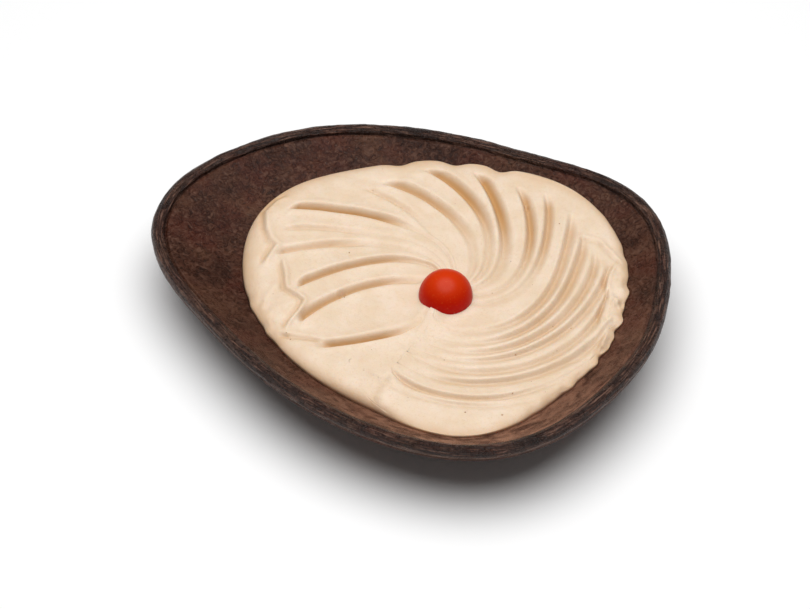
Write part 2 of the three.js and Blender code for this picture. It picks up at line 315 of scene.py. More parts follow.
@dataclass(frozen=True)
class GlazedStoneware:
    """Dark brown reactive glaze, brushed on stoneware and fired. It clouds from black-brown to a rusty
    red, crinkles like leather and holds fine pale specks. Its glass coat is scant and nearly matt in
    the hollow and glossier on the rim, where the glaze lies in brushed streaks. Light and shade are
    painted on it too: a warmer brown on the front of the inner wall as painted bounce light, pale
    streaks on the rim as painted glints, a pale line along the rim's outer edge as a painted
    highlight, and a near-black line in the groove inside the rim as painted shade."""

    patch_mm: float = 24.0
    crinkle_mm: float = 3.0
    speck_mm: float = 1.0
    roughness: float = 0.28
    rusty: str = "#4a2117"
    sunken: str = "#180e0a"
    # painted bounce light on the front of the inner wall
    thinned: str = "#765849"
    bounce_brown: str = "#966c56"
    sooty: str = "#1c110e"
    # painted glints on the rim
    glint_brown: str = "#8c6a5a"
    # painted highlight along the rim's outer edge
    edge_highlight_brown: str = "#8e7264"
    # painted shade in the groove inside the rim
    shaded: str = "#120b09"
    specked: str = "#8d7768"

    def build(self) -> bpy.types.Material:
        """Builds the material.

        Returns:
            A material that reads Object coordinates and the vertex values "rim", "worn", "edge",
            "crease" and "along".
        """
        made, tree, output = blank_material("reactive_glazed_stoneware")
        place = add_node(tree, "TexCoord").outputs["Object"]
        along = add_node(tree, "Attribute", attribute_name="along").outputs["Vector"]
        rim, painted_bounce, edge, crease = (
            add_node(tree, "Attribute", attribute_name=name).outputs["Fac"]
            for name in ("rim", "painted_bounce", "edge", "crease")
        )
        patches = add_node(
            tree,
            "TexNoise",
            {"Vector": place, "Scale": 1 / (self.patch_mm * MM), "Detail": 5.0, "Roughness": 0.62},
        ).outputs["Fac"]
        pools = add_node(
            tree,
            "TexNoise",
            {"Vector": place, "Scale": 1 / (self.patch_mm * 0.7 * MM), "Detail": 4.0, "W": 4.0},
            noise_dimensions="4D",
        ).outputs["Fac"]
        crinkles = add_node(
            tree,
            "TexNoise",
            {
                "Vector": place,
                "Scale": 1 / (self.crinkle_mm * MM),
                "Detail": 6.0,
                "Roughness": 0.68,
                "Distortion": 1.6,
            },
        ).outputs["Fac"]
        streaks = add_node(
            tree,
            "TexNoise",
            {"Vector": along, "Scale": 1.0, "Detail": 4.0, "Roughness": 0.6, "Distortion": 0.5},
        ).outputs["Fac"]
        specks = add_node(
            tree,
            "TexNoise",
            {"Vector": place, "Scale": 1 / (self.speck_mm * MM), "Detail": 2.0, "Roughness": 0.7},
        ).outputs["Fac"]
        spans = {
            "rusted": (pools, 0.48, 0.66, 0.0, 0.62),
            "low": (crinkles, 0.5, 0.34, 0.0, 0.75),
            "high": (crinkles, 0.52, 0.7, 0.0, 0.6),
            "painted_shading": (streaks, 0.38, 0.6, 0.2, 1.0),
            # painted light: streaks that break up the painted bounce light and the painted edge highlight
            "thick": (streaks, 0.58, 0.42, 0.1, 0.8),
            # painted glints on the rim
            "painted_glints": (streaks, 0.54, 0.66, 0.0, 0.6),
            "specks": (specks, 0.62, 0.76, 0.0, 0.4),
            "roughness": (crinkles, 0.3, 0.7, self.roughness - 0.1, self.roughness + 0.14),
            "depth": (rim, 0.0, 1.0, 0.8, 1.0),
            "gloss": (rim, 0.0, 1.0, 0.11, 0.3),
        }
        share = {
            name: add_node(
                tree,
                "MapRange",
                {"Value": source, "From Min": low, "From Max": high, "To Min": least, "To Max": most},
            ).outputs["Result"]
            for name, (source, low, high, least, most) in spans.items()
        }
        body = add_node(
            tree,
            "ValToRGB",
            {"Fac": patches},
            stops=((0.34, "#2e1810"), (0.5, "#42261b"), (0.68, "#563828")),
        )
        layers = (
            (1.0, share["rusted"], self.rusty),
            (1.0, share["low"], self.sunken),
            (1.0, share["high"], self.thinned),
            # painted light: a warmer brown on the front of the inner wall stands in for bounce light from
            # the sauce
            (painted_bounce, share["painted_shading"], self.bounce_brown),
            (rim, share["thick"], self.sooty),
            # painted highlight: pale streaks on the rim stand in for glints of the light
            (rim, share["painted_glints"], self.glint_brown),
            # painted highlight: a pale line along the rim's outer edge stands in for light bounced off the
            # table
            (edge, share["painted_shading"], self.edge_highlight_brown),
            # painted shade: a near-black line in the groove inside the rim
            (crease, 1.0, self.shaded),
            (1.0, share["specks"], self.specked),
        )
        colour = body.outputs["Color"]
        for where, how_much, code in layers:
            both = add_node(tree, "Math", {0: where, 1: how_much}, operation="MULTIPLY").outputs[0]
            layered = add_node(tree, "Mix", {0: both, 6: colour, 7: linear(code)}, data_type="RGBA")
            colour = layered.outputs[2]
        normal = {}
        for height, strength, tall in (
            (crinkles, share["depth"], 0.9 * MM),
            (streaks, rim, 1.1 * MM),
            (specks, 0.35, 0.14 * MM),
        ):
            inputs = {"Height": height, "Strength": strength, "Distance": tall, **normal}
            normal = {"Normal": add_node(tree, "Bump", inputs).outputs["Normal"]}
        surface = add_node(
            tree,
            "BsdfPrincipled",
            {
                "Base Color": colour,
                "Roughness": share["roughness"],
                "IOR": 1.5,
                "Specular IOR Level": share["gloss"],
                **normal,
            },
        )
        tree.links.new(surface.outputs["BSDF"], output.inputs["Surface"])
        return made


@dataclass(frozen=True)
class TahiniPaste:
    """Sesame paste whipped with lemon and spice: pale, opaque and creamy, with a soft satin sheen and
    a fine grain of spice; it lets a little light through. Its valleys, crease grooves and edge are
    painted a darker gold as painted shade."""

    grain_mm: float = 0.6
    curd_mm: float = 2.4
    cloud_mm: float = 14.0
    glow_mm: float = 2.2
    roughness: float = 0.42
    dull: str = "#dcc2a2"
    grained: str = "#d2ae85"
    # painted shade in the valleys and crease grooves
    valley_shade_gold: str = "#ba8a50"
    # painted shade at the sauce's edge
    edge_shade_gold: str = "#c79a6a"

    def build(self) -> bpy.types.Material:
        """Builds the material.

        Returns:
            A material that reads Object coordinates and the vertex values "hollow" and "thin".
        """
        made, tree, output = blank_material("tahini_paste")
        place = add_node(tree, "TexCoord").outputs["Object"]
        hollow, painted_shading = (
            add_node(tree, "Attribute", attribute_name=name).outputs["Fac"] for name in ("hollow", "painted_shading")
        )
        clouds = add_node(
            tree,
            "TexNoise",
            {"Vector": place, "Scale": 1 / (self.cloud_mm * MM), "Detail": 4.0},
        ).outputs["Fac"]
        curds = add_node(
            tree,
            "TexNoise",
            {"Vector": place, "Scale": 1 / (self.curd_mm * MM), "Detail": 4.0, "Roughness": 0.6},
        ).outputs["Fac"]
        grain = add_node(
            tree,
            "TexNoise",
            {"Vector": place, "Scale": 1 / (self.grain_mm * MM), "Detail": 2.0},
        ).outputs["Fac"]
        dents = add_node(
            tree,
            "MapRange",
            {"Value": curds, "From Min": 0.5, "From Max": 0.3, "To Max": 0.4},
        ).outputs["Result"]
        grit = add_node(
            tree,
            "MapRange",
            {"Value": grain, "From Min": 0.42, "From Max": 0.26, "To Max": 0.35},
        ).outputs["Result"]
        base = add_node(
            tree,
            "ValToRGB",
            {"Fac": clouds},
            stops=((0.36, "#e3cbaf"), (0.64, "#ead5be")),
        )
        colour = base.outputs["Color"]
        # painted shade: the valleys, crease grooves and edge turned a darker gold
        layers = ((dents, self.dull), (grit, self.grained), (hollow, self.valley_shade_gold), (painted_shading, self.edge_shade_gold))
        for share, code in layers:
            layered = add_node(tree, "Mix", {0: share, 6: colour, 7: linear(code)}, data_type="RGBA")
            colour = layered.outputs[2]
        normal = {}
        for height, strength, tall in ((curds, 0.5, 0.3 * MM), (grain, 0.4, 0.08 * MM)):
            inputs = {"Height": height, "Strength": strength, "Distance": tall, **normal}
            normal = {"Normal": add_node(tree, "Bump", inputs).outputs["Normal"]}
        surface = add_node(
            tree,
            "BsdfPrincipled",
            {
                "Base Color": colour,
                "Roughness": self.roughness,
                "IOR": 1.46,
                "Subsurface Weight": 0.3,
                "Subsurface Radius": (1.0, 0.62, 0.34),
                "Subsurface Scale": self.glow_mm * MM,
                **normal,
            },
        )
        tree.links.new(surface.outputs["BSDF"], output.inputs["Surface"])
        return made


@dataclass(frozen=True)
class TomatoSkin:
    """A ripe cherry tomato's taut, waxy skin: deep red, oranger and lighter towards the top, partly riper
    skin and partly a painted highlight of the light overhead, with faint pale flecks and a broad soft
    gloss."""

    fleck_mm: float = 0.8
    blush_mm: float = 9.0
    glow_mm: float = 2.0
    roughness: float = 0.32
    # partly a painted highlight on the top of the tomato
    orange_and_highlight: str = "#cc3404"
    flecked: str = "#dc6632"

    def build(self) -> bpy.types.Material:
        """Builds the material.

        Returns:
            A material that reads Object coordinates and the vertex value "shoulder".
        """
        made, tree, output = blank_material("cherry_tomato_skin")
        place = add_node(tree, "TexCoord").outputs["Object"]
        shoulder_and_highlight = add_node(tree, "Attribute", attribute_name="shoulder_and_highlight").outputs["Fac"]
        blush = add_node(
            tree,
            "TexNoise",
            {"Vector": place, "Scale": 1 / (self.blush_mm * MM), "Detail": 2.0},
        )
        flecks = add_node(
            tree,
            "TexNoise",
            {"Vector": place, "Scale": 1 / (self.fleck_mm * MM), "Detail": 1.0},
        )
        pale = add_node(
            tree,
            "MapRange",
            {"Value": flecks.outputs["Fac"], "From Min": 0.62, "From Max": 0.75, "To Max": 0.22},
        ).outputs["Result"]
        ripe = add_node(
            tree,
            "ValToRGB",
            {"Fac": blush.outputs["Fac"]},
            stops=((0.35, "#be0600"), (0.7, "#ca0e00")),
        )
        colour = ripe.outputs["Color"]
        # partly painted highlight: the top of the tomato oranger and lighter
        for share, code in ((shoulder_and_highlight, self.orange_and_highlight), (pale, self.flecked)):
            layered = add_node(tree, "Mix", {0: share, 6: colour, 7: linear(code)}, data_type="RGBA")
            colour = layered.outputs[2]
        surface = add_node(
            tree,
            "BsdfPrincipled",
            {
                "Base Color": colour,
                "Roughness": self.roughness,
                "IOR": 1.42,
                "Specular IOR Level": 0.17,
                "Subsurface Weight": 0.08,
                "Subsurface Radius": (1.0, 0.2, 0.08),
                "Subsurface Scale": self.glow_mm * MM,
            },
        )
        tree.links.new(surface.outputs["BSDF"], output.inputs["Surface"])
        return made


@dataclass(frozen=True)
class ToastedSpice:
    """Ground chilli and toasted sesame: matt crumbs from straw to reddish brown."""

    shade_mm: float = 6.0
    roughness: float = 0.7

    def build(self) -> bpy.types.Material:
        """Builds the material.

        Returns:
            A matt brown material whose shade varies from crumb to crumb by its Object coordinates.
        """
        made, tree, output = blank_material("toasted_spice")
        place = add_node(tree, "TexCoord").outputs["Object"]
        shades = add_node(
            tree,
            "TexNoise",
            {"Vector": place, "Scale": 1 / (self.shade_mm * MM), "Detail": 1.0},
        )
        colour = add_node(
            tree,
            "ValToRGB",
            {"Fac": shades.outputs["Fac"]},
            stops=((0.35, "#966540"), (0.65, "#c09870")),
        )
        surface = add_node(
            tree,
            "BsdfPrincipled",
            {"Base Color": colour.outputs["Color"], "Roughness": self.roughness},
        )
        tree.links.new(surface.outputs["BSDF"], output.inputs["Surface"])
        return made


@dataclass(frozen=True)
class PaleTable:
    """A plain, matt, pale table top."""

    code: str = "#fafafa"

    def build(self) -> bpy.types.Material:
        """Builds the material."""
        made, tree, output = blank_material("pale_table")
        surface = add_node(tree, "BsdfPrincipled", {"Base Color": linear(self.code), "Roughness": 0.9})
        tree.links.new(surface.outputs["BSDF"], output.inputs["Surface"])
        return made


# ---------------------------------------------------------------- dish


@dataclass(frozen=True)
class Band:
    """A band round the rim: its place and its width, both counted in the rim's steps, and how strong
    it is: a depth in mm for a groove, a share for a tone."""

    place: float
    strength: float
    width: float

    def at(self, place: Array) -> Array:
        """Its strength at places on the section, as a bell."""
        return self.strength * bell(place - self.place, self.width)


@dataclass
class StonewareDish:
    """The egg-shaped dish: a shallow hollow, a rolled rim, a flared wall and a plain foot. Sizes in
    mm, bearings in degrees."""

    # the hollow, less full towards the narrow end, the wall under it and the foot
    rim_height: float = 34.0
    well_depth: float = 26.5
    wall: float = 4.8
    fullness: float = 3.0
    narrow_ease: float = 1.3
    foot_share: float = 0.52
    foot_neck: float = 4.5
    # points round the dish, down its hollow and in each of the rim's steps
    columns: int = 480
    well_rows: int = 90
    floor_share: float = 0.02
    step_rows: int = 6
    crest: Outline = Outline(
        103.8,
        (
            Wave(1, 1.5, 91),
            Wave(2, 11.6, -1),
            Wave(3, 6.9, 59.5),
            Wave(4, 0.8, 39),
            Wave(5, 1.8, -27),
            Wave(6, 0.8, 6),
            Wave(7, 0.5, -2),
            Wave(8, 0.5, 8),
        ),
    )
    # the rim's steps, each out from the crest and down from it, then shares of the crest's radius
    # under the wall, and the foot's steps out from its neck and up from the table
    rim_section: tuple[tuple[float, float], ...] = (
        (-3.1, 2.8),
        (-2.6, 1.1),
        (-1.3, 0.2),
        (0.0, 0.0),
        (1.4, 0.2),
        (2.5, 0.8),
        (3.3, 2.0),
        (3.5, 3.5),
        (3.2, 4.8),
        (2.3, 5.6),
        (0.2, 6.2),
    )
    under_shares: tuple[float, ...] = (0.93, 0.82, 0.7, 0.6)
    foot_section: tuple[tuple[float, float], ...] = ((-0.15, 2.4), (-0.6, 0.8), (-1.6, 0.0))
    # grooves cut along the rim, a painted highlight on its outer edge and painted shade in its inner crease
    inner_groove: Band = Band(1.2, 0.2, 0.45)
    outer_groove: Band = Band(8.2, 0.4, 0.5)
    edge_highlight: Band = Band(7.9, 0.6, 0.5)
    crease_shade: Band = Band(1.1, 0.25, 0.5)
    # where the rim's glaze begins, in its steps, and the unevenness that the hand left
    rim_from: float = 0.4
    rim_ease: float = 1.5
    unevenness: float = 0.2
    lump_cells: int = 90
    lump_rows: float = 5.0
    # painted bounce light: the front of the hollow's wall turned a warmer brown, from a share of the
    # crest's radius
    bounce_bearing: float = -50.0
    bounce_reach: float = 48.0
    bounce_from: float = 0.66
    bounce_ease: float = 0.2
    # the brushed streaks: their noise's cells from the middle out, and rows to a cell
    streak_cells: float = 11.0
    streak_rows: float = 3.0

    def well_height(self, share: Array, bearing: Array) -> Array:
        """Height of the hollow: the crest less the depth times one less the share raised to the fullness.

        Args:
            share: share of the way from the middle to the crest.
            bearing: degrees from +X towards +Y.

        Returns:
            Heights in mm.
        """
        power = self.fullness - self.narrow_ease * narrowness(bearing)
        return self.rim_height - self.well_depth * (1 - share**power)

    def well_height_at(self, x: Array, y: Array) -> Array:
        """Height of the hollow at points of the plan, in mm."""
        bearing = np.degrees(np.arctan2(y, x))
        return self.well_height(np.hypot(x, y) / self.crest.radius(bearing), bearing)

    def stations(self, bearing: Array) -> tuple[Array, Array, Array]:
        """The dish's section from the floor over the rim to the foot, at each bearing.

        The hollow is taken at even shares of its radius, the rim and the wall pass smoothly
        through their named steps (a cubic through each four neighbours), and the foot is plain.

        Args:
            bearing: degrees from +X towards +Y, one a column.

        Returns:
            Radius and height, both stations x columns, and each station's place counted in the
            rim's steps (0 in the hollow, past the last step under the wall).
        """
        crest = self.crest.radius(bearing)[None, :]
        inner_share = (crest + self.rim_section[0][0]) / crest
        well = np.linspace(self.floor_share, 1, self.well_rows, endpoint=False)[:, None] * inner_share
        well_radius, well_z = well * crest, self.well_height(well, bearing[None, :])
        knots_out = np.array([step[0] for step in self.rim_section])[:, None] + crest
        knots_z = self.rim_height - np.array([step[1] for step in self.rim_section])[:, None]
        knots_z = np.broadcast_to(knots_z, knots_out.shape)
        under = np.array(self.under_shares)[:, None]
        under_radius = under * crest
        under_z = self.well_height(under + 0 * crest, bearing[None, :]) - self.wall
        neck_radius = self.foot_share * crest
        neck_z = np.full_like(crest, self.foot_neck)
        outer_radius = np.vstack([well_radius[-1:], knots_out, under_radius, neck_radius])
        outer_z = np.vstack([well_z[-1:], knots_z, under_z, neck_z])
        radius, at = self.through(outer_radius, self.step_rows)
        height, _ = self.through(outer_z, self.step_rows)
        inner_cut, outer_cut = self.inner_groove.at(at)[:, None], self.outer_groove.at(at)[:, None]
        radius, height = radius + inner_cut - outer_cut, height - inner_cut
        foot_radius = neck_radius + np.array([step[0] for step in self.foot_section])[:, None]
        foot_z = np.array([step[1] for step in self.foot_section])[:, None] + 0 * crest
        all_radius = np.vstack([well_radius[:-1], radius, foot_radius])
        all_z = np.vstack([well_z[:-1], height, foot_z])
        place = np.concatenate([np.zeros(len(well_radius) - 1), at, np.full(len(foot_z), at[-1])])
        return all_radius, all_z, place

    @staticmethod
    def through(knots: Array, parts: int) -> tuple[Array, Array]:
        """Carries a smooth cubic through knots, each span cut into parts (Catmull and Rom's formula).

        Args:
            knots: knots x columns.
            parts: points a span.

        Returns:
            The points, and each one's place counted in knots.
        """
        padded = np.vstack([knots[:1], knots, knots[-1:]])
        at = np.linspace(0, len(knots) - 1, (len(knots) - 1) * parts + 1)
        span = np.minimum(at.astype(int), len(knots) - 2)
        t = (at - span)[:, None]
        a, b, c, d = (padded[span + k] for k in range(4))
        points = 0.5 * (
            2 * b + (c - a) * t + (2 * a - 5 * b + 4 * c - d) * t**2 + (3 * b - 3 * c + d - a) * t**3
        )
        return points, at

    def uneven(self, turn: Array, row: Array) -> Array:
        """Lumps that a hand leaves round the rim and half as high ones between them, about -1 to 1."""
        around, fine_cells = turn / (2 * np.pi), 3 * self.lump_cells
        broad = Grain(11, self.lump_cells).at(around * self.lump_cells, row / self.lump_rows)
        return broad + 0.5 * Grain(12, fine_cells).at(around * fine_cells, 2 * row / self.lump_rows)

    def build(self) -> bpy.types.Object:
        """Builds the dish, with hand-made unevenness on its rim, and dresses it."""
        bearing = np.arange(self.columns) * 360 / self.columns
        radius, height, place = self.stations(bearing)
        steps = len(self.rim_section)
        rim = smooth((place - self.rim_from) / self.rim_ease) * smooth((steps - 2 - place) / 2)
        turn = np.radians(bearing)[None, :]
        row = np.arange(len(place))[:, None]
        push = self.unevenness * self.uneven(turn, row) * rim[:, None]
        x, y = (radius + push) * np.cos(turn), (radius + push) * np.sin(turn)
        rings = np.stack([x, y, height + 0.5 * push], axis=-1)
        floor = np.array([0, 0, self.rim_height - self.well_depth])
        dish = closed_skin("stoneware_dish", rings, floor, np.zeros(3))
        # painted light and shade: a pale line on the rim's outer edge as a painted highlight, a dark line
        # in its inner crease as painted shade
        marks = {"rim": rim, "edge": self.edge_highlight.at(place), "crease": self.crease_shade.at(place)}
        for name, values in marks.items():
            point_value(dish, name, np.append(np.repeat(values, self.columns), [0, 0]))
        # painted bounce light: a warmer brown on the front of the inner wall, kept as a vertex value
        share = radius / self.crest.radius(bearing)[None, :]
        inner = (place < steps / 2)[:, None] * (1 - rim[:, None])
        painted_bounce = inner * smooth((share - self.bounce_from) / self.bounce_ease)
        painted_bounce = painted_bounce * bell(turn_from(self.bounce_bearing, bearing), self.bounce_reach)
        point_value(dish, "painted_bounce", np.append(painted_bounce, [0, 0]))
        round_x, round_y = self.streak_cells * np.cos(turn), self.streak_cells * np.sin(turn)
        along = np.stack(np.broadcast_arrays(round_x, round_y, row / self.streak_rows), axis=-1)
        point_value(dish, "along", np.vstack([along.reshape(-1, 3), np.zeros((2, 3))]))
        settle(dish, "bowl", GlazedStoneware().build())
        return dish


# ---------------------------------------------------------------- tomato


@dataclass
class CherryTomato:
    """A whole cherry tomato, half sunk in the sauce. Sizes in mm."""

    x: float = 15.7
    y: float = -3.2
    z: float = 27.3
    radius: float = 12.05
    lobes: int = 5
    lobe_share: float = 0.004
    shoulder_from: float = 2.0
    shoulder_rise: float = 10.0
    columns: int = 160
    rows: int = 100

    def build(self) -> bpy.types.Object:
        """Builds the tomato: a ball whose radius swells and dips by well under 1% in five soft lobes."""
        turn = np.linspace(0, 2 * np.pi, self.columns, endpoint=False)[None, :]
        fall = np.linspace(0, np.pi, self.rows + 1)[1:-1, None]
        swell = np.cos(self.lobes * turn + 0.6) * np.sin(fall) ** 2 - 1
        radius = self.radius * (1 + self.lobe_share * swell)
        x = self.x + radius * np.sin(fall) * np.cos(turn)
        y = self.y + radius * np.sin(fall) * np.sin(turn)
        z = self.z + radius * np.cos(fall)
        rings = np.stack([x, y, z], axis=-1)
        middle = np.array([self.x, self.y, self.z])
        up = np.array([0, 0, self.radius * (1 - self.lobe_share)])
        tomato = closed_skin("whole_cherry_tomato", rings, middle + up, middle - up)
        # partly painted highlight: the top of the tomato turns oranger and lighter where the light overhead
        # falls
        shoulder_and_highlight = smooth((z.ravel() - self.z - self.shoulder_from) / self.shoulder_rise)
        point_value(tomato, "shoulder_and_highlight", np.append(shoulder_and_highlight, [1, 0]))
        settle(tomato, "cherry_tomato", TomatoSkin().build())
        return tomato


# ---------------------------------------------------------------- sauce


@dataclass(frozen=True)
class Stroke:
    """One stroke of the spoon: its valley runs from a mouth to a tail (bearing in degrees and radius
    in mm about the swirl's middle), tightening inwards by its bow, then on to the hub. Its wall and
    its lip are the widths in mm of its broad side, towards the stroke before it, and of its steep
    side, towards the next. It opens to its full depth over a share of its run, grows shallower after
    another, and keeps a rest of its depth on the way to the hub."""

    mouth: tuple[float, float]
    tail: tuple[float, float]
    bow: float
    hub: float
    depth: float
    wall: float
    lip: float
    opening: float = 0.14
    fade: float = 0.4
    rest: float = 0.0


@dataclass(frozen=True)
class Dimple:
    """A small burst air bubble in the sauce: its place, depth and width in mm."""

    x: float
    y: float
    depth: float
    width: float


@dataclass(frozen=True)
class Crease:
    """A fold in the sauce's skin along points of the plan, in mm: a rounded ridge on the line and a
    groove on its right hand. Both fade out over a length at the line's ends."""

    points: tuple[tuple[float, float], ...]
    ridge: float
    groove: float
    width: float
    fade: float = 5.0

    def nearest(self, x: Array, y: Array) -> tuple[Array, Array]:
        """Finds each place's distance from the line, more than 0 on its right hand, and how far from
        the line's ends its nearest point lies.

        Args:
            x: first coordinate of each place.
            y: second coordinate of each place.

        Returns:
            The signed distance and the distance to the nearer end, both in mm.
        """
        reach = np.full_like(x, np.inf)
        signed, run = np.zeros_like(x), np.zeros_like(x)
        length = 0.0
        for (from_x, from_y), (to_x, to_y) in zip(self.points, self.points[1:]):
            step_x, step_y = to_x - from_x, to_y - from_y
            step = math.hypot(step_x, step_y)
            share = clamp(((x - from_x) * step_x + (y - from_y) * step_y) / step**2)
            away = np.hypot(x - from_x - share * step_x, y - from_y - share * step_y)
            side = np.sign((x - from_x) * step_y - (y - from_y) * step_x)
            nearer = away < reach
            reach = np.where(nearer, away, reach)
            signed = np.where(nearer, away * side, signed)
            run = np.where(nearer, length + share * step, run)
            length += step
        return signed, np.minimum(run, length - run)

    def relief(self, x: Array, y: Array) -> tuple[Array, Array]:
        """Height of the ridge less the groove's depth, and the groove's depth alone, both bells."""
        signed, end = self.nearest(x, y)
        shown = smooth(end / self.fade)
        groove = self.groove * shown * bell(signed - 1.5 * self.width, 0.85 * self.width)
        return self.ridge * shown * bell(signed, self.width) - groove, groove


